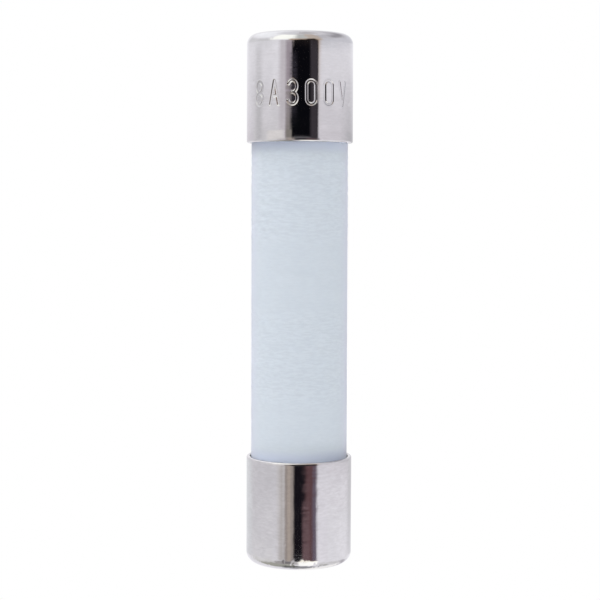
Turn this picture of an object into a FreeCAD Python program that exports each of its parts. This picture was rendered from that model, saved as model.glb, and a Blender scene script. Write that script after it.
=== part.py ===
"""Sand-filled ceramic cartridge fuse, 6.3 x 32 mm size (6.35 x 31.75 mm nominal).

Millimetres, +Z along the fuse, origin at the fuse's centre. Two drawn metal cups close a ceramic
tube. A helical wire wound on a twisted yarn core runs through the sand in the bore, passes a
fibre disc at each mouth of the tube and is soldered inside each cup.
"""

import FreeCAD, Part

import math
import os

# Driving dimensions
overall_length = 31.75
cap_diameter = 6.35
cap_length = 6.47
tube_diameter = 5.80
tube_bore = 4.10

# End cap, a drawn cup
cap_wall = 0.22
cap_end_wall = 0.24
cap_shoulder_radius = 0.64
rim_outer_radius = 0.10
rim_inner_radius = 0.05

# What fills the space between the cap's end wall and the tube's mouth
solder_depth = 0.45
disc_thickness = 0.40
disc_diameter = 5.60
disc_hole_diameter = 1.50
tube_edge_radius = 0.10

# Cement film that holds the cap on the tube
cement_setback = 0.35
cement_length = 4.00

# Twisted yarn core
strand_count = 3
strand_diameter = 0.38
strand_helix_radius = 0.24
strand_pitch = 4.0
core_into_solder = 0.15

# Wire wound round the core
wire_diameter = 0.22
wire_gap = 0.01            # between the wire and what it lies on
wire_clearance = 0.03      # between the wire and the sand round it
wire_turns = 18
wire_pitch = 1.50
tail_turn_deg = 60         # how far the wire turns as it straightens from the winding
tail_rise = 1.20           # and how far it climbs
tail_bend_radius = 0.30    # where it bends out over the disc
tail_reach = 2.10          # how far out over the disc it ends

# Worked out from the above
half_length = overall_length / 2
cap_radius = cap_diameter / 2
cap_bore_radius = cap_radius - cap_wall
solder_outer_z = half_length - cap_end_wall
solder_inner_z = solder_outer_z - solder_depth
tube_half_length = solder_inner_z - disc_thickness
rim_z = half_length - cap_length
core_radius = strand_helix_radius + strand_diameter / 2
wire_radius = wire_diameter / 2
winding_radius = core_radius + wire_radius + wire_gap
sand_channel_radius = winding_radius + wire_radius + wire_clearance

AXIS = FreeCAD.Vector(0, 0, 1)
CENTRE = FreeCAD.Vector(0, 0, 0)


def at(radius, z):
    """A point of a revolved outline, in the XZ half plane."""
    return FreeCAD.Vector(radius, 0, z)


def line(start, end):
    return Part.LineSegment(start, end).toShape()


def corner(start, centre, end):
    """A quarter-round edge from start to end about centre."""
    radius = (start - centre).Length
    middle = centre + ((start + end) / 2 - centre).normalize() * radius
    return Part.Arc(start, middle, end).toShape()


def revolve(edges):
    """The solid swept by a closed outline turned once round the fuse's axis."""
    face = Part.Face(Part.Wire(edges))
    return face.revolve(CENTRE, AXIS, 360)


def ring(inner_radius, outer_radius, low_z, high_z):
    """A plain ring between two radii."""
    outer = Part.makeCylinder(outer_radius, high_z - low_z, at(0, low_z), AXIS)
    inner = Part.makeCylinder(inner_radius, high_z - low_z, at(0, low_z), AXIS)
    return outer.cut(inner)


def lower(shape):
    """The same piece at the fuse's lower end: the upper one turned half a turn about X."""
    turned = shape.copy()
    turned.rotate(CENTRE, FreeCAD.Vector(1, 0, 0), 180)
    return turned


def end_cap():
    """Drawn cup: flat end, round shoulder, straight wall and a rounded rim."""
    r, ri = cap_radius, cap_bore_radius
    top, floor = half_length, half_length - cap_end_wall
    shoulder = cap_shoulder_radius
    inside = shoulder - cap_wall
    out, lip = rim_outer_radius, rim_inner_radius
    return revolve([
        line(at(0, top), at(r - shoulder, top)),
        corner(at(r - shoulder, top), at(r - shoulder, top - shoulder), at(r, top - shoulder)),
        line(at(r, top - shoulder), at(r, rim_z + out)),
        corner(at(r, rim_z + out), at(r - out, rim_z + out), at(r - out, rim_z)),
        line(at(r - out, rim_z), at(ri + lip, rim_z)),
        corner(at(ri + lip, rim_z), at(ri + lip, rim_z + lip), at(ri, rim_z + lip)),
        line(at(ri, rim_z + lip), at(ri, floor - inside)),
        corner(at(ri, floor - inside), at(ri - inside, floor - inside), at(ri - inside, floor)),
        line(at(ri - inside, floor), at(0, floor)),
        line(at(0, floor), at(0, top)),
    ])


def ceramic_tube():
    """Straight tube with eased outer edges at both mouths."""
    tube = ring(tube_bore / 2, tube_diameter / 2, -tube_half_length, tube_half_length)
    outer_rims = [edge for edge in tube.Edges
                  if isinstance(edge.Curve, Part.Circle) and edge.Curve.Radius > tube_bore / 2]
    return tube.makeFillet(tube_edge_radius, outer_rims)


def sealing_disc():
    """Fibre disc over the tube's mouth, with a hole for the element."""
    return ring(disc_hole_diameter / 2, disc_diameter / 2, tube_half_length, solder_inner_z)


def cement_ring():
    """Cement film between the tube and the cap's wall, set back from the rim."""
    low = rim_z + cement_setback
    return ring(tube_diameter / 2, cap_bore_radius, low, low + cement_length)


def quartz_sand():
    """The sand column that fills the bore round the element."""
    return ring(sand_channel_radius, tube_bore / 2, -tube_half_length, tube_half_length)


def helix_rod(rod_radius, helix_radius, pitch, length):
    """A round rod along a helix about the fuse's axis, centred on the fuse's middle."""
    helix = Part.makeHelix(pitch, length, helix_radius)
    helix.translate(at(0, -length / 2))
    slope = FreeCAD.Vector(0, 2 * math.pi * helix_radius, pitch)
    section = Part.Wire(Part.makeCircle(rod_radius, at(helix_radius, -length / 2), slope))
    return Part.Wire(helix.Edges).makePipeShell([section], True, True)


def element_core():
    """Twisted yarn: strands wound round the fuse's axis, a little apart."""
    length = 2 * (solder_inner_z + core_into_solder)
    strands = []
    for index in range(strand_count):
        strand = helix_rod(strand_diameter / 2, strand_helix_radius, strand_pitch, length)
        strand.rotate(CENTRE, AXIS, index * 360 / strand_count)
        strands.append(strand)
    return Part.makeCompound(strands)


def around(radius, angle, z):
    """A point at an angle round the fuse's axis."""
    return FreeCAD.Vector(radius * math.cos(angle), radius * math.sin(angle), z)


def wire_tail():
    """The wire from the winding's upper end through the disc's hole and out over the disc."""
    winding_end = wire_turns * wire_pitch / 2
    tail_z = solder_inner_z + wire_radius + wire_gap
    tail_turn = math.radians(tail_turn_deg)

    def straightening(share):
        """A point beside the core where the wire turns less and climbs more as share grows."""
        angle = tail_turn * share * (2 - share)
        return around(winding_radius, angle, winding_end + tail_rise * share * (1 + share) / 2)

    start = straightening(0)
    along_winding = FreeCAD.Vector(0, 2 * math.pi * winding_radius, wire_pitch).normalize()
    bend_start = around(winding_radius, tail_turn, tail_z - tail_bend_radius)
    bend_centre = around(winding_radius + tail_bend_radius, tail_turn, tail_z - tail_bend_radius)
    bend_end = around(winding_radius + tail_bend_radius, tail_turn, tail_z)
    curve = Part.BSplineCurve()
    curve.interpolate([straightening(share) for share in (0, 1 / 3, 2 / 3, 1)],
                      InitialTangent=along_winding, FinalTangent=AXIS)
    path = Part.Wire([
        curve.toShape(),
        line(straightening(1), bend_start),
        corner(bend_start, bend_centre, bend_end),
        line(bend_end, around(tail_reach, tail_turn, tail_z)),
    ])
    section = Part.Wire(Part.makeCircle(wire_radius, start, along_winding))
    return path.makePipeShell([section], True, False)


def element_wire():
    """One wire, wound round the core, with a tail at each end."""
    winding = helix_rod(wire_radius, winding_radius, wire_pitch, wire_turns * wire_pitch)
    tail = wire_tail()
    return winding.fuse([tail, lower(tail)])


def solder_pool():
    """What fills the cap's end, from the disc to the end wall."""
    ri = cap_bore_radius
    inside = cap_shoulder_radius - cap_wall
    return revolve([
        line(at(0, solder_inner_z), at(ri, solder_inner_z)),
        line(at(ri, solder_inner_z), at(ri, solder_outer_z - inside)),
        corner(at(ri, solder_outer_z - inside), at(ri - inside, solder_outer_z - inside),
               at(ri - inside, solder_outer_z)),
        line(at(ri - inside, solder_outer_z), at(0, solder_outer_z)),
        line(at(0, solder_outer_z), at(0, solder_inner_z)),
    ])


def main():
    os.makedirs("parts", exist_ok=True)
    wire = element_wire()
    core = element_core()
    cap, pool = end_cap(), solder_pool()
    disc, cement = sealing_disc(), cement_ring()
    nodes = {
        "ceramic_tube": ceramic_tube(),
        "upper_end_cap": cap,
        "lower_end_cap": lower(cap),
        "upper_cap_solder": pool.cut([wire, core]),
        "lower_cap_solder": lower(pool).cut([wire, core]),
        "upper_sealing_disc": disc,
        "lower_sealing_disc": lower(disc),
        "upper_cement_ring": cement,
        "lower_cement_ring": lower(cement),
        "quartz_sand": quartz_sand(),
        "element_core": core,
        "element_wire": wire,
    }
    for name, shape in nodes.items():
        shape.exportStep(f"parts/{name}.step")
        print(name, "valid", shape.isValid(), "solids", len(shape.Solids), "mm3", round(shape.Volume, 3))


main()
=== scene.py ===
"""The looks of a sand-filled ceramic cartridge fuse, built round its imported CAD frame.

Lengths are millimetres until a mesh is made from them. Angles round the fuse are degrees from the
side that faces the camera, positive to the camera's right. Every piece is a body of revolution, or
a rod along a curve, whose surface is pushed in or out by small marks and ripples. No mark takes a
cap or the tube out of the box of its CAD node.
"""

import math
from typing import NamedTuple

import bpy
import numpy as np
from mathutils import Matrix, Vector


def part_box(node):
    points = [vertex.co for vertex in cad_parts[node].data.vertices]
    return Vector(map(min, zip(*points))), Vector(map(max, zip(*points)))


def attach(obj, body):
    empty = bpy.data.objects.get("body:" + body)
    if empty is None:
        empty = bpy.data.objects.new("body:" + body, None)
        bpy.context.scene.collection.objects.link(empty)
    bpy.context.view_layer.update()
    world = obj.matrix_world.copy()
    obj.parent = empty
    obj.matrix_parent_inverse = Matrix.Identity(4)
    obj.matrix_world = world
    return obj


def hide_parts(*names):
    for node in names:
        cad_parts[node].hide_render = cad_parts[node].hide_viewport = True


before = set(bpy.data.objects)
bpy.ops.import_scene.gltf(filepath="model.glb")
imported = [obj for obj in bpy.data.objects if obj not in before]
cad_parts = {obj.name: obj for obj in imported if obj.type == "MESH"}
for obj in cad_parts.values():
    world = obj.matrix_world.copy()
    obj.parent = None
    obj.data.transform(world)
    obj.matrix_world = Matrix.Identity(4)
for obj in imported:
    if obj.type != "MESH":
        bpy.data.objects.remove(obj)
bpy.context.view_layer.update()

MM = 0.001
random = np.random.default_rng(32)


# ================================================================ sizes

def outer_radius(node):
    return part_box(node)[1].x / MM


def top_z(node):
    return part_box(node)[1].z / MM


def bottom_z(node):
    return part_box(node)[0].z / MM


cap_radius = outer_radius("upper_end_cap")
cap_end_z = top_z("upper_end_cap")
cap_rim_z = bottom_z("upper_end_cap")
cap_bore_radius = outer_radius("upper_cap_solder")
cap_floor_z = top_z("upper_cap_solder")
tube_radius = outer_radius("ceramic_tube")
tube_end_z = top_z("ceramic_tube")
tube_bore_radius = outer_radius("quartz_sand")
disc_radius = outer_radius("upper_sealing_disc")
solder_z = bottom_z("upper_cap_solder")
cement_low_z = bottom_z("upper_cement_ring")
cement_high_z = top_z("upper_cement_ring")
core_end_z = top_z("element_core")

# Sizes that the boxes of the frame don't give
shoulder_radius = 0.64
rim_outer_round = 0.10
rim_inner_round = 0.05
tube_edge_round = 0.10
disc_hole_radius = 0.75
sand_channel_radius = 0.69
strand_count = 3
strand_radius = 0.19
strand_helix_radius = 0.24
strand_pitch = 4.0
wire_radius = 0.11
winding_radius = 0.55
wire_turns = 18
wire_pitch = 1.5
tail_turn_deg = 60
tail_rise = 1.2
tail_bend_radius = 0.3
tail_reach = 2.1
wire_gap = 0.01

# The stamped marking: a made-up current and voltage rating, twice round the upper cap
marking = "8A300V   8A300V   "
marking_first_deg = -48
marking_middle_z = cap_end_z - 3.64
marking_band = 1.70        # height of wall that gets a fine mesh
character_height = 1.37
character_width = 0.54
groove_floor = 0.050       # half the width of the groove's floor
groove_wall = 0.038        # how far each side wall slopes
groove_depth = 0.034
burr_height = 0.003
burr_width = 0.015

# How far a cap's mean surface lies inside the CAD's, so that no mark leaves the CAD's box
cap_skin = 0.006

# The small dents on each cap's wall, and how far below its flat end the knocks on its shoulder fade
wall_dent_count = 90
wall_dent_width = 0.12
wall_dent_depth = 0.004
knock_fade = 0.03

# The same skin for the tube, and the highest of the chatter ridges on it
tube_skin = 0.016
ridge_height = 0.018


# ================================================================ outlines

def straight(start, end, steps):
    """Points from start up to, but not including, end; each point is (radius, z)."""
    share = np.linspace(0, 1, steps, endpoint=False)[:, None]
    return np.array(start) * (1 - share) + np.array(end) * share


def bend(centre, radius, start_deg, end_deg, steps):
    """A round stretch of outline about centre, its last point left out."""
    angle = np.radians(np.linspace(start_deg, end_deg, steps, endpoint=False))
    return np.array(centre) + radius * np.stack([np.cos(angle), np.sin(angle)], axis=1)


def cap_outline(end_steps, shoulder_steps, wall):
    """The cup from the middle of its outside end, over the rim, to the middle of its inside.

    wall is the (z, steps) pairs down the outside. Returns the outline and how many of its points
    are outside.
    """
    r, ri = cap_radius, cap_bore_radius
    shoulder, out, lip = shoulder_radius, rim_outer_round, rim_inner_round
    inside = shoulder - (r - ri)
    parts = [
        straight((0, cap_end_z), (r - shoulder, cap_end_z), end_steps),
        bend((r - shoulder, cap_end_z - shoulder), shoulder, 90, 0, shoulder_steps),
    ]
    z = cap_end_z - shoulder
    for next_z, steps in wall:
        parts.append(straight((r, z), (r, next_z), steps))
        z = next_z
    parts.append(bend((r - out, cap_rim_z + out), out, 0, -90, 5))
    outside_count = sum(len(part) for part in parts)
    parts += [
        straight((r - out, cap_rim_z), (ri + lip, cap_rim_z), 2),
        bend((ri + lip, cap_rim_z + lip), lip, 270, 180, 3),
        straight((ri, cap_rim_z + lip), (ri, cap_floor_z - inside), 3),
        bend((ri - inside, cap_floor_z - inside), inside, 0, 90, 4),
        straight((ri - inside, cap_floor_z), (0, cap_floor_z), 2),
        [(0, cap_floor_z)],
    ]
    return np.concatenate(parts), outside_count


def ring_outline(inner, outer, low, high, wall_steps, bore_steps, end_steps, edge_round):
    """The closed outline of a ring whose outer edges are rounded, up its outside first."""
    edge = edge_round
    return np.concatenate([
        straight((outer, low + edge), (outer, high - edge), wall_steps),
        bend((outer - edge, high - edge), edge, 0, 90, 4),
        straight((outer - edge, high), (inner, high), end_steps),
        straight((inner, high), (inner, low), bore_steps),
        straight((inner, low), (outer - edge, low), end_steps),
        bend((outer - edge, low + edge), edge, -90, 0, 4),
    ])


def pool_outline():
    """Solder in the bottom of the cup: flat on the disc, with a rounded edge at the wall.

    The wall left between that edge and the cup's own round is shorter than the edge, so the two
    rounds overlap by 0.03 mm. Returns the outline and how many of its points come before the flat
    face on the disc.
    """
    r, edge = cap_bore_radius, 0.06
    inside = shoulder_radius - (cap_radius - cap_bore_radius)
    in_the_cup = np.concatenate([
        straight((0, cap_floor_z), (r - inside, cap_floor_z), 12),
        bend((r - inside, cap_floor_z - inside), inside, 90, 0, 10),
        straight((r, cap_floor_z - inside), (r, solder_z + edge), 2),
        bend((r - edge, solder_z + edge), edge, 0, -90, 4),
    ])
    on_the_disc = straight((r - edge, solder_z), (0, solder_z), 24)
    return np.concatenate([in_the_cup, on_the_disc, [(0, solder_z)]]), len(in_the_cup)


def outward(outline, closed):
    """The unit normal of a revolved outline at each of its points, as (radius, z).

    An open outline runs from the upper pole down; a closed one runs up its outer side.
    """
    if closed:
        step = np.roll(outline, -1, axis=0) - np.roll(outline, 1, axis=0)
        normal = np.stack([step[:, 1], -step[:, 0]], axis=1)
    else:
        step = np.gradient(outline, axis=0)
        normal = np.stack([-step[:, 1], step[:, 0]], axis=1)
    return normal / np.linalg.norm(normal, axis=1)[:, None]


# ================================================================ meshes

def make_piece(name, shape, slot, *nodes):
    """A smooth-shaded piece that rides on the one body and stands for the CAD nodes given."""
    points, faces = shape
    mesh = bpy.data.meshes.new(name)
    mesh.from_pydata((points * MM).tolist(), [], faces)
    mesh.polygons.foreach_set("use_smooth", [True] * len(mesh.polygons))
    mesh.update()
    piece = bpy.data.objects.new(name, mesh)
    bpy.context.scene.collection.objects.link(piece)
    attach(piece, "root")
    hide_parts(*nodes)
    return piece


def grid_faces(rows, columns, wrap_rows):
    """Quads over a grid of points whose columns go right round; its rows may too."""
    row = np.arange(rows if wrap_rows else rows - 1)[:, None]
    column = np.arange(columns)[None, :]
    below, right = (row + 1) % rows, (column + 1) % columns
    corners = (row * columns + column, below * columns + column,
               below * columns + right, row * columns + right)
    size = (len(row), columns)
    return np.stack([np.broadcast_to(corner, size) for corner in corners], axis=-1).reshape(-1, 4)


def end_fans(rows, columns):
    """Triangles that close both ends of a grid; their two tips come after the grid's points."""
    column = np.arange(columns)
    right = (column + 1) % columns
    last_row = (rows - 1) * columns
    first_tip, last_tip = rows * columns, rows * columns + 1
    fans = [(first_tip, a, b) for a, b in zip(column.tolist(), right.tolist())]
    fans += [(last_tip, last_row + b, last_row + a) for a, b in zip(column.tolist(), right.tolist())]
    return fans


def revolved(outline, segments, push, closed=False):
    """Points and faces of an outline turned round the fuse's axis.

    push(angle, z, row) says how far each point moves out along its normal. An open outline starts
    and ends on the axis.
    """
    normal = outward(outline, closed)
    if not closed:
        outline, normal = outline[1:-1], normal[1:-1]
    rows = len(outline)
    size = (rows, segments)
    angle = np.broadcast_to(np.linspace(-180, 180, segments, endpoint=False), size)
    z = np.broadcast_to(outline[:, 1:], size)
    row = np.broadcast_to(np.arange(rows)[:, None], size)
    moved = push(angle, z, row)
    radius = outline[:, :1] + normal[:, :1] * moved
    height = outline[:, 1:] + normal[:, 1:] * moved
    turn = np.radians(angle)
    grid = np.stack([radius * np.sin(turn), -radius * np.cos(turn), height], axis=-1)
    points = grid.reshape(-1, 3)
    faces = grid_faces(rows, segments, wrap_rows=closed)
    if closed:
        return points, faces[:, ::-1].tolist()
    tips = np.stack([grid[0].mean(axis=0), grid[-1].mean(axis=0)])
    return np.concatenate([points, tips]), faces.tolist() + end_fans(rows, segments)


def rod(path, radius, around):
    """A closed rod along a path, with so many points around it.

    radius(share, angle) is its radius at a share of its length and an angle round it, in radians.
    """
    not_along_any_rod = (0.3, 0.5, 0.81)
    tangent = np.gradient(path, axis=0)
    tangent /= np.linalg.norm(tangent, axis=1)[:, None]
    side = np.cross(tangent[0], not_along_any_rod)
    sides = []
    for direction in tangent:
        side = side - direction * (side @ direction)
        side /= np.linalg.norm(side)
        sides.append(side)
    across = np.array(sides)[:, None, :]
    up = np.cross(tangent, np.array(sides))[:, None, :]
    angle = np.linspace(0, 2 * math.pi, around, endpoint=False)[None, :]
    share = np.linspace(0, 1, len(path))[:, None]
    outward_direction = np.cos(angle)[..., None] * across + np.sin(angle)[..., None] * up
    points = path[:, None, :] + radius(share, angle)[..., None] * outward_direction
    faces = grid_faces(len(path), around, wrap_rows=False)[:, ::-1].tolist()
    faces += [fan[::-1] for fan in end_fans(len(path), around)]
    return np.concatenate([points.reshape(-1, 3), path[:1], path[-1:]]), faces


def upside_down(shape):
    """The same shape at the fuse's other end, turned half a turn about X."""
    points, faces = shape
    return points * np.array([1, -1, -1]), faces


def joined(shapes):
    """Several shapes as one."""
    points, faces, before = [], [], 0
    for some_points, some_faces in shapes:
        points.append(some_points)
        faces += [[corner + before for corner in face] for face in some_faces]
        before += len(some_points)
    return np.concatenate(points), faces


# ================================================================ surface marks

def smoothstep(value, low, high):
    """A soft step from 0 to 1 as value goes from low to high."""
    share = np.clip((value - low) / (high - low), 0, 1)
    return share * share * (3 - 2 * share)


def degrees_between(angle, centre_deg):
    return (angle - centre_deg + 180) % 360 - 180


def ripple(angle, z, height, waves, turns, per_mm):
    """A soft, uneven surface: a sum of slanting waves with seeded phases, about height high.

    turns is the most waves round the fuse, and per_mm the most along each millimetre of it.
    """
    total = np.zeros(np.broadcast(angle, z).shape)
    for _ in range(waves):
        around = random.integers(0, turns + 1)
        along = random.uniform(-per_mm, per_mm)
        phase = random.uniform(0, 2 * math.pi)
        total += np.sin(np.radians(angle) * around + 2 * math.pi * along * z + phase)
    return height * total / math.sqrt(waves)


class ChatterBand(NamedTuple):
    """A stretch of the tube with so many ridges. share is their height over ridge_height."""
    count: int
    low_z: float
    high_z: float
    share: float


CHATTER_BANDS = (
    ChatterBand(count=1500, low_z=-tube_end_z, high_z=tube_end_z, share=0.12),
    ChatterBand(count=900, low_z=3.6, high_z=8.9, share=1),
    ChatterBand(count=500, low_z=-6.2, high_z=-0.4, share=0.6),
)


def chatter(angle, z, band):
    """Short, low ridges and grooves left round the ceramic tube by its die."""
    raised = np.zeros(angle.shape)
    rows = z[:, 0]
    for _ in range(band.count):
        at_deg, at_z = random.uniform(-180, 180), random.uniform(band.low_z, band.high_z)
        half_length, half_height = random.uniform(0.15, 0.4), random.uniform(0.055, 0.10)
        lean = random.uniform(-0.12, 0.12)
        height = random.choice((-1, 1)) * random.uniform(0.3, 1) * ridge_height
        near = np.abs(rows - at_z) < 4 * half_height
        x = np.radians(degrees_between(angle[near], at_deg)) * tube_radius
        y = z[near] - at_z - lean * x
        raised[near] += height * np.exp(-(x / half_length) ** 2 - (y / half_height) ** 2)
    return raised * band.share


def dents(angle, z, count, low_z, high_z, widest, deepest):
    """Small knocks scattered over a band of a cap."""
    pushed = np.zeros(angle.shape)
    for _ in range(count):
        at_deg = random.uniform(-180, 180)
        at_z = random.uniform(low_z, high_z)
        width, slant = widest * random.uniform(0.2, 1), random.uniform(-1, 1)
        depth = deepest * random.uniform(0.2, 1) * width / widest
        x = np.radians(degrees_between(angle, at_deg)) * cap_radius
        y = z - at_z
        near = (np.abs(x) < 3 * width) & (np.abs(y) < 3 * width)
        x, y = x[near], y[near]
        pushed[near] -= depth * np.exp(-(x * x + y * y + slant * x * y) / width ** 2)
    return pushed


# ================================================================ stamped marking

def oval(cx, cy, rx, ry, start_deg=0, end_deg=360, steps=28):
    """Points along an oval about (cx, cy), or along a part of it."""
    angle = np.radians(np.linspace(start_deg, end_deg, steps + 1))
    return np.stack([cx + rx * np.cos(angle), cy + ry * np.sin(angle)], axis=1)


def narrow_nought():
    """Two half rounds joined by straight sides."""
    end = 0.5 * character_width / character_height
    top = oval(0, 0.5 - end, 0.5, end, 0, 180)
    bottom = oval(0, end - 0.5, 0.5, end, 180, 360)
    return np.concatenate([top, bottom, top[:1]])


# Strokes of each character in a box one wide and one high about its middle
GLYPHS = {
    "0": [narrow_nought()],
    "3": [oval(0, 0.25, 0.46, 0.25, 155, -90), oval(0, -0.25, 0.50, 0.25, 90, -155)],
    "8": [oval(0, 0.26, 0.44, 0.24), oval(0, -0.24, 0.50, 0.26)],
    "A": [[(-0.5, -0.5), (0, 0.5), (0.5, -0.5)], [(-0.32, -0.14), (0.32, -0.14)]],
    "V": [[(-0.5, 0.5), (0, -0.5), (0.5, 0.5)]],
}


def distance_to(strokes, x, y):
    """Distance from each point to the nearest stroke, each stroke a run of points."""
    nearest = np.full(x.shape, np.inf)
    for stroke in strokes:
        for (x0, y0), (x1, y1) in zip(stroke[:-1], stroke[1:]):
            dx, dy = x1 - x0, y1 - y0
            share = np.clip(((x - x0) * dx + (y - y0) * dy) / (dx * dx + dy * dy), 0, 1)
            nearest = np.minimum(nearest, np.hypot(x - x0 - share * dx, y - y0 - share * dy))
    return nearest


def groove(distance, depth):
    """A stamped stroke's section: flat floor, sloping walls and a low burr along each side."""
    edge = groove_floor + groove_wall
    cut = 1 - smoothstep(distance, groove_floor, edge)
    burr = np.exp(-((distance - edge - burr_width) / burr_width) ** 2)
    return burr_height * burr - depth * cut


def stamped(angle, z):
    """How far the marking pushes the upper cap's wall in or out. Characters aren't quite even."""
    pushed = np.zeros(angle.shape)
    pitch_deg = 360 / len(marking)
    size = (character_width, character_height)
    for index, character in enumerate(marking):
        lift, lean, deeper = random.normal(0, (0.02, 0.012, 0.06 * groove_depth))
        if character == " ":
            continue
        off_deg = degrees_between(angle, marking_first_deg + index * pitch_deg)
        in_band = np.abs(z - marking_middle_z) < marking_band / 2
        near = (np.abs(off_deg) < 0.6 * pitch_deg) & in_band
        x = np.radians(off_deg[near]) * cap_radius
        y = z[near] - marking_middle_z - lift
        strokes = [np.array(stroke) * size for stroke in GLYPHS[character]]
        pushed[near] += groove(distance_to(strokes, x - lean * y, y), groove_depth + deeper)
    return pushed


# ================================================================ pieces

class Forming(NamedTuple):
    """How rough a cap came out of the press: how high its waves are and how deep its knocks."""
    wave: float
    buckle: float
    ring: float
    knock: float
    knock_width: float
    knock_count: int


STAMPED_FORMING = Forming(wave=0.0030, buckle=0.0003, ring=0.0002,
                          knock=0.003, knock_width=0.10, knock_count=200)
PLAIN_FORMING = Forming(wave=0.0025, buckle=0.0008, ring=0.00035,
                        knock=0.007, knock_width=0.07, knock_count=900)


def cap_surface(outside_count, forming, marks):
    """The push function of a cap.

    Waves and dents fade in from the middle of its flat end, and nothing marks its inside.
    """
    shoulder_z = cap_end_z - shoulder_radius
    rows_to_fade_in, rows_to_fade_out = 8, 3

    def push(angle, z, row):
        moved = ripple(angle, z, forming.wave, waves=10, turns=6, per_mm=0.4)
        moved += ripple(angle, z, forming.buckle, waves=20, turns=30, per_mm=1.2)
        moved += ripple(angle, z, forming.ring, waves=16, turns=10, per_mm=4.0)
        below_end = 1 - smoothstep(z, cap_end_z - knock_fade, cap_end_z)
        moved += below_end * dents(angle, z, forming.knock_count, shoulder_z, cap_end_z,
                                   forming.knock_width, forming.knock)
        moved += dents(angle, z, wall_dent_count, cap_rim_z, shoulder_z,
                       wall_dent_width, wall_dent_depth)
        moved = moved * smoothstep(row, 0, rows_to_fade_in) + marks(angle, z)
        last_outside = outside_count - 1
        outside = 1 - smoothstep(row, last_outside - rows_to_fade_out, last_outside)
        return np.minimum(moved - cap_skin, 0) * outside
    return push


def make_stamped_cap():
    band_top = marking_middle_z + marking_band / 2
    band_bottom = marking_middle_z - marking_band / 2
    wall = [(band_top, 3), (band_bottom, 72), (cap_rim_z + rim_outer_round, 3)]
    outline, outside_count = cap_outline(end_steps=6, shoulder_steps=22, wall=wall)
    push = cap_surface(outside_count, STAMPED_FORMING, stamped)
    shape = revolved(outline, segments=800, push=push)
    return make_piece("stamped_end_cap", shape, "nickel_plate", "upper_end_cap")


def make_plain_cap():
    wall = [(cap_rim_z + rim_outer_round, 64)]
    outline, outside_count = cap_outline(end_steps=20, shoulder_steps=30, wall=wall)
    push = cap_surface(outside_count, PLAIN_FORMING, marks=lambda angle, z: 0)
    shape = revolved(outline, segments=640, push=push)
    return make_piece("plain_end_cap", upside_down(shape), "nickel_plate", "lower_end_cap")


def make_tube():
    """The ceramic tube: an extruded body, so its faint ripples and chatter marks run round it."""
    wall_steps = 410
    outline = ring_outline(tube_bore_radius, tube_radius, -tube_end_z, tube_end_z,
                           wall_steps, bore_steps=4, end_steps=4, edge_round=tube_edge_round)

    def push(angle, z, row):
        pushed = ripple(angle, z, 0.0007, waves=16, turns=3, per_mm=1.4)
        for band in CHATTER_BANDS:
            pushed += chatter(angle, z, band)
        return np.minimum(pushed - tube_skin, 0) * (row < wall_steps)

    shape = revolved(outline, segments=220, push=push, closed=True)
    return make_piece("fired_tube", shape, "tube_ceramic", "ceramic_tube")


def solder_pool():
    """Solder that set with slow ripples in its face on the disc."""
    outline, face_start = pool_outline()
    face_end = len(outline) - 1
    rows_per_mm = 6
    skin, deepest = 0.003, 0.012

    def push(angle, z, row):
        on_face = smoothstep(row, face_start - 2, face_start + 4)
        on_face = on_face * (1 - smoothstep(row, face_end - 6, face_end - 2))
        set_in = np.abs(ripple(angle, row / rows_per_mm, 1, waves=7, turns=4, per_mm=0.5))
        return -skin - deepest * on_face * set_in

    return revolved(outline, segments=160, push=push)


def sealing_disc():
    """A punched fibre disc: rough faces and slightly crushed edges."""
    outline = ring_outline(disc_hole_radius, disc_radius, tube_end_z, solder_z,
                           wall_steps=8, bore_steps=8, end_steps=30, edge_round=0.05)
    rows_per_mm = 8
    skin = 0.006

    def push(angle, z, row):
        fibres = ripple(angle, row / rows_per_mm, 0.003, waves=24, turns=60, per_mm=3)
        return np.minimum(fibres - skin, 0)

    return revolved(outline, segments=240, push=push, closed=True)


def cement_ring():
    """A cement film squeezed out unevenly, so that its two edges wander."""
    middle = (cement_low_z + cement_high_z) / 2
    half = (cement_high_z - cement_low_z) / 2
    outline = ring_outline(tube_radius, cap_bore_radius, cement_low_z, cement_high_z,
                           wall_steps=60, bore_steps=60, end_steps=2, edge_round=0.01)
    points, faces = revolved(outline, segments=240, push=lambda angle, z, row: 0 * z, closed=True)
    angle = np.degrees(np.arctan2(points[:, 0], -points[:, 1]))
    end = np.sign(points[:, 2] - middle)
    wander = np.abs(ripple(angle, end, 0.25, waves=12, turns=14, per_mm=0.3))
    points[:, 2] -= end * wander * (np.abs(points[:, 2] - middle) / half) ** 4
    return points, faces


def sand_column():
    """Packed sand: the grains next to the bore and round the element's channel stand out."""
    outline = ring_outline(sand_channel_radius, tube_bore_radius, -tube_end_z, tube_end_z,
                           wall_steps=270, bore_steps=270, end_steps=14, edge_round=0.05)
    grain_depth = 0.022

    def push(angle, z, row):
        grains = random.uniform(0, 1, angle.shape) + random.uniform(0, 1, angle.shape)
        return -grain_depth * grains

    return revolved(outline, segments=150, push=push, closed=True)


def helix(radius, pitch, half_length, start_deg, steps):
    """Points along a helix about the fuse's axis, centred on the fuse's middle."""
    z = np.linspace(-half_length, half_length, steps)
    turn = math.radians(start_deg) + 2 * math.pi * (z + half_length) / pitch
    return np.stack([radius * np.cos(turn), radius * np.sin(turn), z], axis=1)


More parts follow.
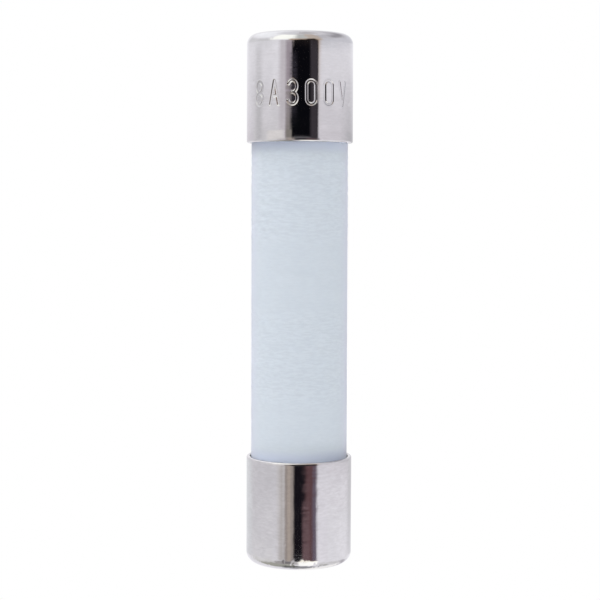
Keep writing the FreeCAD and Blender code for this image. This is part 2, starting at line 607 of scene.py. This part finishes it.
def yarn():
    """Three strands laid together, each a bundle of filaments with a twist of its own.

    They are 0.07 mm longer than the CAD's at each end, inside the solder.
    """
    filaments, filament_twists = 11, 60
    mean_share, filament_share = 0.965, 0.03    # of the strand's radius

    def radius(share, angle):
        bundle = np.cos(filaments * (angle + 2 * math.pi * filament_twists / filaments * share))
        return strand_radius * (mean_share + filament_share * bundle)

    starts = [index * 360 / strand_count for index in range(strand_count)]
    paths = [helix(strand_helix_radius, strand_pitch, core_end_z, start, steps=360)
             for start in starts]
    return joined([rod(path, radius, around=66) for path in paths])


def wire_tail():
    """From the winding's end, beside the core, through the disc's hole and out over the disc."""
    winding_end = wire_turns * wire_pitch / 2
    tail_z = solder_z + wire_radius + wire_gap
    turn = math.radians(tail_turn_deg)
    out = np.array([math.cos(turn), math.sin(turn), 0])
    up = np.array([0, 0, 1])
    share = np.linspace(0, 1, 16)[1:]
    angle = turn * share * (2 - share)
    leaving = np.stack([winding_radius * np.cos(angle), winding_radius * np.sin(angle),
                        winding_end + tail_rise * share * (1 + share) / 2], axis=1)
    bend_low = tail_z - tail_bend_radius
    climb = [winding_radius * out + up * z
             for z in np.linspace(winding_end + tail_rise, bend_low, 5)[1:-1]]
    quarter = np.linspace(0, math.pi / 2, 10)[:, None]
    bent = (winding_radius + tail_bend_radius * (1 - np.cos(quarter))) * out
    bent = bent + (bend_low + tail_bend_radius * np.sin(quarter)) * up
    over = [reach * out + tail_z * up
            for reach in np.linspace(winding_radius + tail_bend_radius, tail_reach, 8)[1:]]
    return np.concatenate([leaving, climb, bent, over])


def element_wire():
    """One wire wound round the yarn, with a tail at each end. Its plating is a little uneven."""
    steps_per_turn = 48
    skin, unevenness = 0.002, 0.001
    tail = wire_tail()
    winding = helix(winding_radius, wire_pitch, wire_turns * wire_pitch / 2, start_deg=0,
                    steps=wire_turns * steps_per_turn)
    other_tail = (tail * np.array([1, -1, -1]))[::-1]
    path = np.concatenate([other_tail, winding, tail])

    def radius(share, angle):
        drawn = np.cos(3 * angle + 40 * share) + np.cos(2 * math.pi * 130 * share + angle)
        return wire_radius - skin + unevenness * drawn

    return rod(path, radius, around=16)


# ================================================================ shader nodes

class Nodes:
    """Short ways to add and join shader nodes in one node tree."""

    def __init__(self, tree):
        self.tree = tree

    def add(self, kind, **settings):
        node = self.tree.nodes.new("ShaderNode" + kind)
        for name, value in settings.items():
            setattr(node, name, value)
        return node

    def feed(self, socket, value):
        """Joins an output to a socket, or gives the socket a value of its own."""
        if isinstance(value, bpy.types.NodeSocket):
            self.tree.links.new(value, socket)
        else:
            socket.default_value = value

    def math(self, operation, *values):
        node = self.add("Math", operation=operation)
        for socket, value in zip(node.inputs, values):
            self.feed(socket, value)
        return node.outputs[0]

    def smooth(self, value, low, high, to_low=0.0, to_high=1.0):
        """A soft step from to_low to to_high as value goes from low to high."""
        node = self.add("MapRange", interpolation_type="SMOOTHSTEP")
        for socket, number in zip(node.inputs, (value, low, high, to_low, to_high)):
            self.feed(socket, number)
        return node.outputs[0]

    def mix(self, share, first, second):
        """A blend of two colours, each (red, green, blue) or an output."""
        share_input, first_input, second_input, colour_output = 0, 6, 7, 2
        node = self.add("Mix", data_type="RGBA")
        self.feed(node.inputs[share_input], share)
        for index, colour in ((first_input, first), (second_input, second)):
            self.feed(node.inputs[index], (*colour, 1) if isinstance(colour, tuple) else colour)
        return node.outputs[colour_output]

    def noise(self, vector, scale=1.0, detail=2.0, roughness=0.5):
        node = self.add("TexNoise")
        inputs = {"Vector": vector, "Scale": scale, "Detail": detail, "Roughness": roughness}
        for name, value in inputs.items():
            self.feed(node.inputs[name], value)
        return node.outputs[0]

    def cells(self, vector, scale, output="Distance"):
        node = self.add("TexVoronoi")
        self.feed(node.inputs["Vector"], vector)
        self.feed(node.inputs["Scale"], scale)
        return node.outputs[output]

    def length(self, vector):
        node = self.add("VectorMath", operation="LENGTH")
        self.feed(node.inputs[0], vector)
        return node.outputs["Value"]

    def axes(self, vector):
        node = self.add("SeparateXYZ")
        self.feed(node.inputs[0], vector)
        return node.outputs

    def stretched(self, vector, x, y, z):
        node = self.add("Mapping")
        self.feed(node.inputs["Vector"], vector)
        node.inputs["Scale"].default_value = (x, y, z)
        return node.outputs[0]

    def bump(self, height, strength, distance_mm, under=None):
        """A normal map from height, laid over another one if given."""
        node = self.add("Bump")
        self.feed(node.inputs["Height"], height)
        node.inputs["Strength"].default_value = strength
        node.inputs["Distance"].default_value = distance_mm * MM
        if under is not None:
            self.feed(node.inputs["Normal"], under)
        return node.outputs[0]


class Material(Nodes):
    """A material under construction: its node helpers, main shader and surface point in mm."""

    def __init__(self, name):
        self.data = bpy.data.materials.new(name)
        self.data.use_nodes = True
        super().__init__(self.data.node_tree)
        self.shader = self.tree.nodes["Principled BSDF"]
        self.point = self.stretched(self.add("TexCoord").outputs["Object"], 1 / MM, 1 / MM, 1 / MM)

    def set(self, **inputs):
        """Feeds the main shader's inputs; an underscore in a name stands for a space."""
        for name, value in inputs.items():
            value = (*value, 1) if name == "Base_Color" and isinstance(value, tuple) else value
            self.feed(self.shader.inputs[name.replace("_", " ")], value)


# ================================================================ materials

def stamped_walls(m):
    """1 on the sloping side walls of the stamped strokes, where painted shade goes, and 0 elsewhere, by
    how deep they lie.
    """
    radius = m.length(m.stretched(m.point, 1, 1, 0))
    depth = m.math("SUBTRACT", cap_radius - cap_skin, radius)
    z = m.axes(m.point)[2]
    from_middle = m.math("ABSOLUTE", m.math("SUBTRACT", z, marking_middle_z))
    in_band = m.math("LESS_THAN", from_middle, marking_band / 2)
    below_rim = m.smooth(depth, 0.006, 0.014)
    above_floor = m.smooth(depth, 0.95 * groove_depth, 0.7 * groove_depth)
    return m.math("MULTIPLY", in_band, m.math("MULTIPLY", below_rim, above_floor))


def nickel(name, wear):
    """Bright nickel plate with dull patches, fine scratches, drawing lines up and round the cup, and
    painted shade on the walls of its stamped strokes.

    wear is how strongly its marks show.
    """
    m = Material(name)
    patches = m.noise(m.point, 0.9, detail=4)
    rings = m.noise(m.stretched(m.point, 1.0, 1.0, 6), detail=3)
    draw_lines = m.noise(m.stretched(m.point, 6, 6, 0.25), detail=3)
    scratches = m.noise(m.stretched(m.point, 1.5, 1.5, 36))
    peel = m.noise(m.point, 6, detail=3, roughness=0.6)
    film = m.noise(m.stretched(m.point, 2.5, 2.5, 8), detail=3, roughness=0.6)
    plate = m.mix(m.smooth(patches, 0.35, 0.65), (0.655, 0.648, 0.66), (0.695, 0.686, 0.698))
    plate = m.mix(m.smooth(film, 0.35, 0.65, 0.3 * wear, 0), plate, (0.585, 0.575, 0.58))
    # Painted shade: the sloping walls of the stamped strokes are darkened towards near black, standing
    # in for the shade inside the grooves.
    groove_shade = m.math("MULTIPLY", stamped_walls(m), 0.55)
    dullness = m.smooth(patches, 0.3, 0.7, 0.045, 0.062)
    rough = m.math("ADD", dullness, m.smooth(scratches, 0.58, 0.75, 0, 0.015))
    drawn = m.bump(draw_lines, 0.10 * wear, 0.01, under=m.bump(rings, 0.08 * wear, 0.01))
    m.set(Metallic=1, Base_Color=m.mix(groove_shade, plate, (0.16, 0.15, 0.15)), Roughness=rough,
          Normal=m.bump(peel, 0.07 * wear, 0.01, under=drawn))
    return m.data


def streaky_zones(m):
    """1 in two bands round the tube, above and below a smooth zone about its middle, else 0."""
    zone_middle_z = 1.5
    z = m.axes(m.point)[2]
    away = m.math("ABSOLUTE", m.math("SUBTRACT", z, zone_middle_z))
    return m.math("MULTIPLY", m.smooth(away, 1.5, 3.0), m.smooth(away, 8.5, 6.5))


def shade_next_to_caps(m):
    """Rises from 0 to 1 over the last stretch of the tube before each cap's rim, where the painted
    shade of the caps goes.
    """
    height = m.math("ABSOLUTE", m.axes(m.point)[2])
    return m.smooth(height, cap_rim_z - 0.8, cap_rim_z - 0.1)


def ceramic():
    """Unglazed white ceramic: matte, a little translucent, mottled in streaks round the tube.

    It is a touch bluer next to the caps, a painted shade, and more violet where it is seen at a
    glancing angle, a painted sheen.
    """
    m = Material("tube_ceramic")
    clouds = m.noise(m.stretched(m.point, 0.5, 0.5, 1.5), detail=3)
    streaks = m.noise(m.stretched(m.point, 2.2, 2.2, 9), detail=3, roughness=0.6)
    grain = m.noise(m.point, 14, detail=3, roughness=0.6)
    pores = m.smooth(m.cells(m.point, 2.4), 0.05, 0.02, 0, 0.35)
    tint = m.mix(m.smooth(clouds, 0.3, 0.7), (0.622, 0.680, 0.748), (0.642, 0.700, 0.768))
    streaked = m.mix(m.smooth(streaks, 0.35, 0.65), (0.582, 0.637, 0.707), (0.678, 0.740, 0.806))
    tint = m.mix(m.smooth(streaky_zones(m), 0, 1, 0.2, 0.5), tint, streaked)
    # Painted shade: the ceramic turns a touch bluer next to each cap's rim, where the cap shades it.
    tint = m.mix(shade_next_to_caps(m), tint, (0.625, 0.683, 0.815))
    # Painted sheen: the ceramic turns darker and more violet where it is seen at a glancing angle.
    glancing_sheen = m.smooth(m.add("LayerWeight").outputs["Facing"], 0.35, 0.9, 0, 0.8)
    tint = m.mix(glancing_sheen, tint, (0.625, 0.650, 0.760))
    rough_face = m.bump(streaks, 0.2, 0.03, under=m.bump(grain, 0.12, 0.02))
    m.set(Base_Color=m.mix(pores, tint, (0.40, 0.42, 0.46)),
          Roughness=0.62, Specular_IOR_Level=0.3, Normal=rough_face,
          Subsurface_Weight=0.3, Subsurface_Radius=(1.0, 0.95, 0.9), Subsurface_Scale=0.6 * MM)
    return m.data


def tin_solder():
    """Dull, crystalline solder."""
    m = Material("tin_solder")
    crystals = m.cells(m.point, 3.2)
    film = m.noise(m.point, 2.5, detail=4)
    grey = m.mix(m.smooth(film, 0.35, 0.65), (0.50, 0.50, 0.52), (0.63, 0.63, 0.64))
    m.set(Metallic=1, Base_Color=grey,
          Roughness=m.smooth(film, 0.3, 0.7, 0.28, 0.5), Normal=m.bump(crystals, 0.25, 0.03))
    return m.data


def fibre_board():
    """Vulcanised fibre: pressed paper layers, matted and brown."""
    m = Material("fibre_board")
    fibres = m.noise(m.stretched(m.point, 2, 9, 6), detail=5, roughness=0.65)
    blotches = m.noise(m.point, 1.3, detail=2)
    brown = m.mix(m.smooth(blotches, 0.35, 0.65), (0.27, 0.13, 0.06), (0.35, 0.18, 0.09))
    m.set(Base_Color=m.mix(m.smooth(fibres, 0.35, 0.7), brown, (0.44, 0.27, 0.15)),
          Roughness=m.smooth(fibres, 0.3, 0.7, 0.62, 0.85), Normal=m.bump(fibres, 0.4, 0.03))
    return m.data


def cement():
    """Off-white cement with fine pores."""
    m = Material("cement")
    pores = m.cells(m.point, 9)
    cloud = m.noise(m.point, 2.2, detail=5)
    m.set(Base_Color=m.mix(m.smooth(cloud, 0.3, 0.7), (0.53, 0.47, 0.36), (0.64, 0.58, 0.47)),
          Roughness=m.smooth(pores, 0.1, 0.6, 0.95, 0.75), Normal=m.bump(pores, 0.4, 0.02))
    return m.data


def quartz_sand():
    """Quartz grains, clear to tan, each with its own colour and gloss."""
    m = Material("quartz_sand")
    grain_colour = m.cells(m.point, 6.5, "Color")
    grain_shape = m.cells(m.point, 6.5)
    kind = m.add("SeparateColor")
    m.feed(kind.inputs[0], grain_colour)
    clear, tan, gloss = kind.outputs
    body = m.mix(m.smooth(tan, 0.55, 0.95), (0.66, 0.62, 0.54), (0.50, 0.36, 0.20))
    m.set(Base_Color=m.mix(m.smooth(clear, 0.6, 1.0, 0, 0.6), body, (0.78, 0.77, 0.74)),
          Roughness=m.smooth(gloss, 0, 1, 0.25, 0.7), Normal=m.bump(grain_shape, 0.8, 0.05))
    return m.data


def glass_yarn():
    """White glass fibre: fine lines along the strands and a silky sheen."""
    m = Material("glass_yarn")
    lines = m.noise(m.stretched(m.point, 26, 26, 3), detail=3)
    m.set(Base_Color=m.mix(m.smooth(lines, 0.35, 0.65), (0.62, 0.62, 0.58), (0.80, 0.80, 0.77)),
          Roughness=m.smooth(lines, 0.3, 0.7, 0.35, 0.55), Sheen_Weight=0.3,
          Normal=m.bump(lines, 0.3, 0.01))
    return m.data


def tinned_copper():
    """Copper wire whose tin coat is thin in places."""
    m = Material("tinned_copper")
    coat = m.noise(m.point, 5, detail=4)
    drawn = m.noise(m.stretched(m.point, 16, 16, 5))
    tin_or_copper = m.mix(m.smooth(coat, 0.58, 0.70), (0.70, 0.69, 0.68), (0.72, 0.45, 0.30))
    m.set(Metallic=1, Base_Color=tin_or_copper,
          Roughness=m.smooth(coat, 0.3, 0.7, 0.18, 0.36), Normal=m.bump(drawn, 0.15, 0.01))
    return m.data


# ================================================================ studio

camera_distance = 99.28    # from the fuse's axis
camera_height = 6.27       # above the fuse's middle
camera_side = 0.04         # to the right
camera_pitch_deg = 3.615   # down
camera_roll_deg = 0.17
camera_lens = 99.12
camera_sensor = 36


# How strongly the tent lights the ceramic from its left and its right
tent_left = 0.63
tent_right = 0.475

# The lamps that light it too. They are bright high up on the left and low down on the right, and
# dim high up on the right and low down on the left.
lamps_begin_deg = 50       # above and below the horizon
lamps_full_deg = 62
lamp_bright = 9.0
lamp_dim = 2.5
low_lamp_share = 0.92      # what the lamps below the horizon are multiplied by
high_lamp_share = 1.08     # and those above it


class Patch(NamedTuple):
    """A soft-edged area of the studio that the metal reflects, in degrees as seen from the fuse.

    side and end are how soft its left and right edges, and its low and high edges, are.
    """
    left: float
    right: float
    low: float
    high: float
    side: float
    end: float
    colour: tuple


TENT = (1.045, 1.035, 1.08)
STUDIO = {
    # The tent's ceiling and its walls above the horizon
    "ceiling": Patch(-200, 200, 68, 100, 1, 10, (0.68, 0.66, 0.67)),
    "ceiling on the left": Patch(-180, -15, 64, 100, 35, 8, (0.94, 0.94, 0.97)),
    "ceiling at the back": Patch(180, 230, 64, 100, 35, 8, (0.94, 0.94, 0.97)),
    "upper left wall": Patch(-200, -76, 32, 64, 12, 9, (1.25, 1.27, 1.30)),
    "upper wall at the back": Patch(-215, -166, 6, 64, 14, 7, (0.98, 0.98, 1.00)),
    "left wall over the horizon": Patch(-150, -62, 7, 25, 10, 4, (0.87, 0.87, 0.89)),
    "right wall over the horizon": Patch(40, 200, 6, 32, 6, 2, (0.80, 0.80, 0.855)),
    "upper right wall": Patch(42, 200, 29, 62, 6, 7, (0.72, 0.71, 0.75)),
    "dark corner above right": Patch(86, 152, 34, 50, 12, 7, (0.44, 0.43, 0.46)),
    "upper wall at the back, on the right": Patch(166, 215, 6, 64, 14, 7, (0.98, 0.98, 1.00)),
    # What hangs over the camera, behind the key light's edge
    "plain backdrop": Patch(-20, 20, 10, 66, 10, 6, (0.70, 0.71, 0.69)),
    "tan backdrop": Patch(15, 50, 10, 68, 7, 5, (0.69, 0.60, 0.53)),
    "key softbox": Patch(-68, -12, 15, 62, 11, 7, (1.48, 1.50, 1.40)),
    "warm edge": Patch(-24, 44, 4, 21, 6, 7, (0.62, 0.47, 0.36)),
    "hood over the lens": Patch(-3, 38, 0, 13, 7, 6, (0.02, 0.015, 0.015)),
    "front of the hood": Patch(-14, 38, 0, 9.5, 3, 3, (0.02, 0.015, 0.015)),
    "hood on the right": Patch(13, 36, 0, 21, 6, 8, (0.03, 0.022, 0.02)),
    # The belt that the caps' walls reflect
    "horizon belt": Patch(-200, 200, -8, 3.3, 1, 2.5, (0.85, 0.82, 0.865)),
    "lower belt": Patch(40, 150, -10.4, -6, 3, 1.0, (0.925, 0.90, 0.95)),
    "left wall": Patch(-120, -46, -8, 3, 8, 2.5, (0.84, 0.825, 0.845)),
    "seam in the left wall": Patch(-110, -90, -5, 4.5, 8, 3, (0.69, 0.68, 0.70)),
    "right end of the belt": Patch(112, 200, -8, 3, 28, 2.5, (0.64, 0.63, 0.66)),
    "lower left wall": Patch(-200, -46, -12.5, -6, 8, 3, (0.80, 0.785, 0.82)),
    "far left of the table": Patch(-200, -126, -13, -5, 12, 3, (0.89, 0.905, 0.93)),
    "far right of the table": Patch(136, 200, -13, -5, 16, 3, (0.74, 0.73, 0.76)),
    # The table under the fuse
    "ground": Patch(-200, 200, -100, -70, 1, 6, (0.40, 0.40, 0.42)),
    "right floor": Patch(52, 128, -48, -34, 10, 6, (0.86, 0.85, 0.86)),
    "light under right": Patch(128, 190, -68, -40, 12, 8, (1.25, 1.24, 1.20)),
    "dark corner under right": Patch(122, 166, -37, -27, 12, 4, (0.60, 0.58, 0.62)),
    "edge of the table": Patch(68, 108, -62, -51, 8, 4, (0.56, 0.56, 0.53)),
    "cloth on the left": Patch(-125, -56, -34, -13, 8, 3, (0.91, 0.90, 0.90)),
    "table on the left": Patch(-116, -16, -70, -34, 8, 9, (0.50, 0.50, 0.445)),
    "shade on the table": Patch(-56, -14, -44, -18, 7, 5, (0.50, 0.48, 0.47)),
    "dark fold on the table": Patch(-38, -13, -42, -14, 7, 5, (0.26, 0.245, 0.25)),
    "foot of the table": Patch(-85, 0, -82, -64, 10, 6, (0.19, 0.19, 0.18)),
    "spill of the floor light": Patch(-15, 5, -50, -15, 4, 4, (0.66, 0.64, 0.64)),
    "floor light": Patch(0, 43, -62, -14, 5, 3, (1.50, 1.50, 1.44)),
    "near edge of the floor light": Patch(0, 40, -22, -15.5, 5, 3, (1.30, 1.24, 1.06)),
    # The camera and the hands that hold it, above the horizon and then below it
    "fold left of the lens": Patch(-45, -28, -6, 9, 6, 3, (0.74, 0.70, 0.735)),
    "sheet under the fold": Patch(-74, -35, -6, 1.5, 8, 0.8, (0.97, 0.935, 0.92)),
    "shade left of the lens": Patch(-31, -14, -6, 8, 3.5, 2, (0.47, 0.415, 0.455)),
    "olive shade": Patch(-30.5, -14, -6, 3, 3.5, 1.5, (0.31, 0.285, 0.26)),
    "lens": Patch(-17.6, 39.4, -5.5, 7.6, 2.5, 2, (0.004, 0.004, 0.006)),
    "lens rim": Patch(23, 39.0, -5, 8, 4, 2, (0.056, 0.049, 0.057)),
    "strap by the lens": Patch(-22, -8, 3.2, 4.4, 6, 0.8, (0.060, 0.054, 0.070)),
    "lens mount": Patch(-21.5, 0, 2.0, 2.9, 2.5, 0.3, (0.004, 0.005, 0.006)),
    "underside of the lens": Patch(-17.3, 43, -15, -5, 2.5, 2, (0.011, 0.009, 0.013)),
    "fold below": Patch(-46, -30, -15, -6, 9, 1.5, (0.64, 0.605, 0.59)),
    "hand beside the lens": Patch(-31, -11.6, -15, -6, 3.5, 1.5, (0.43, 0.375, 0.345)),
    "knuckle": Patch(-25, -17.5, -15, -6, 2, 1.5, (0.54, 0.465, 0.41)),
    "hand under the lens": Patch(15, 44, -15, -6, 6, 1.5, (0.145, 0.076, 0.082)),
    "palm under the lens": Patch(8, 24, -15, -10.8, 4, 1.0, (0.20, 0.125, 0.135)),
    "cuff": Patch(30, 44, -15, -9.2, 3.5, 1.2, (0.18, 0.145, 0.19)),
    "sleeve": Patch(40.5, 62, -15, -6.5, 5, 1.5, (0.925, 0.905, 0.955)),
    "sleeve's light edge": Patch(41.5, 66, -15, -10, 5, 1, (1.02, 1.0, 1.055)),
}


def make_camera():
    data = bpy.data.cameras.new("camera")
    data.lens = camera_lens
    data.sensor_width = camera_sensor
    data.clip_start = MM
    camera = bpy.data.objects.new("camera", data)
    bpy.context.scene.collection.objects.link(camera)
    camera.location = (camera_side * MM, -camera_distance * MM, camera_height * MM)
    camera.rotation_euler = (math.radians(90 - camera_pitch_deg), 0, 0)
    camera.rotation_euler.rotate_axis("Z", math.radians(camera_roll_deg))
    bpy.context.scene.camera = camera
    return camera


def make_compass(camera):
    """An empty at the origin that always faces the camera, so that the studio turns with it."""
    compass = bpy.data.objects.new("studio_compass", None)
    bpy.context.scene.collection.objects.link(compass)
    track = compass.constraints.new("LOCKED_TRACK")
    track.target = camera
    track.track_axis = "TRACK_NEGATIVE_Y"
    track.lock_axis = "LOCK_Z"
    return compass


def make_world(camera):
    """A light tent as the metal and the ceramic see it; the camera itself sees plain white."""
    world = bpy.data.worlds.new("light_tent")
    bpy.context.scene.world = world
    world.use_nodes = True
    world.cycles.sampling_method = "NONE"
    n = Nodes(world.node_tree)
    x, y, z = n.axes(n.add("TexCoord", object=make_compass(camera)).outputs["Object"])
    azimuth = n.math("DEGREES", n.math("ARCTAN2", x, n.math("MULTIPLY", y, -1)))
    elevation = n.math("DEGREES", n.math("ARCSINE", z))

    def mask(patch):
        across = n.math("MULTIPLY", n.smooth(azimuth, patch.left - patch.side, patch.left + patch.side),
                        n.smooth(azimuth, patch.right + patch.side, patch.right - patch.side))
        upward = n.math("MULTIPLY", n.smooth(elevation, patch.low - patch.end, patch.low + patch.end),
                        n.smooth(elevation, patch.high + patch.end, patch.high - patch.end))
        return n.math("MULTIPLY", across, upward)

    reflected = TENT
    for patch in STUDIO.values():
        reflected = n.mix(mask(patch), reflected, patch.colour)
    soft = n.mix(n.smooth(x, -1, 1), (tent_left,) * 3, (tent_right,) * 3)
    lamp = n.smooth(n.math("MULTIPLY", x, z), -0.4, 0.4, lamp_bright, lamp_dim)
    lamp = n.math("MULTIPLY", lamp, n.smooth(z, -0.9, 0.9, low_lamp_share, high_lamp_share))
    in_lamps = n.smooth(n.math("ABSOLUTE", elevation), lamps_begin_deg, lamps_full_deg)
    soft = n.mix(in_lamps, soft, lamp)
    rays = n.add("LightPath").outputs
    seen = n.mix(rays["Is Diffuse Ray"], reflected, soft)
    seen = n.mix(rays["Is Camera Ray"], seen, (1.0, 1.0, 1.0))
    n.feed(world.node_tree.nodes["Background"].inputs["Color"], seen)


def make_floor():
    """A white floor under the fuse, so bright that no shadow shows on it."""
    half = 300
    corners = [(-half, -half), (half, -half), (half, half), (-half, half)]
    mesh = bpy.data.meshes.new("floor")
    mesh.from_pydata([(x * MM, y * MM, -cap_end_z * MM) for x, y in corners], [], [(0, 1, 2, 3)])
    floor = bpy.data.objects.new("floor", mesh)
    bpy.context.scene.collection.objects.link(floor)
    material = bpy.data.materials.new("white_floor")
    material.use_nodes = True
    n = Nodes(material.node_tree)
    glow = n.add("Emission")
    glow.inputs["Color"].default_value = (1, 1, 1, 1)
    n.feed(material.node_tree.nodes["Material Output"].inputs["Surface"], glow.outputs[0])
    mesh.materials.append(material)
    floor.visible_glossy = False
    floor.visible_diffuse = False
    floor.visible_shadow = False


# ================================================================ the scene

def make_pair(name, shape, slot, node, material):
    """The same inner piece at both ends of the fuse."""
    for end, placed in (("upper", shape), ("lower", upside_down(shape))):
        piece = make_piece(f"{end}_{name}", placed, slot, f"{end}_{node}")
        piece.data.materials.append(material)


def main():
    make_stamped_cap().data.materials.append(nickel("nickel_plate", wear=1.0))
    make_plain_cap().data.materials.append(nickel("scuffed_nickel_plate", wear=1.5))
    make_tube().data.materials.append(ceramic())
    make_pair("solder_pool", solder_pool(), "solder", "cap_solder", tin_solder())
    make_pair("fibre_disc", sealing_disc(), "fibre_board", "sealing_disc", fibre_board())
    make_pair("cement_film", cement_ring(), "cement", "cement_ring", cement())
    single_pieces = (
        ("sand_column", sand_column(), "sand", "quartz_sand", quartz_sand()),
        ("twisted_yarn", yarn(), "glass_yarn", "element_core", glass_yarn()),
        ("wound_wire", element_wire(), "tinned_copper", "element_wire", tinned_copper()),
    )
    for name, shape, slot, node, material in single_pieces:
        make_piece(name, shape, slot, node).data.materials.append(material)
    make_world(make_camera())
    make_floor()
    bpy.context.scene.view_settings.view_transform = "Standard"


main()
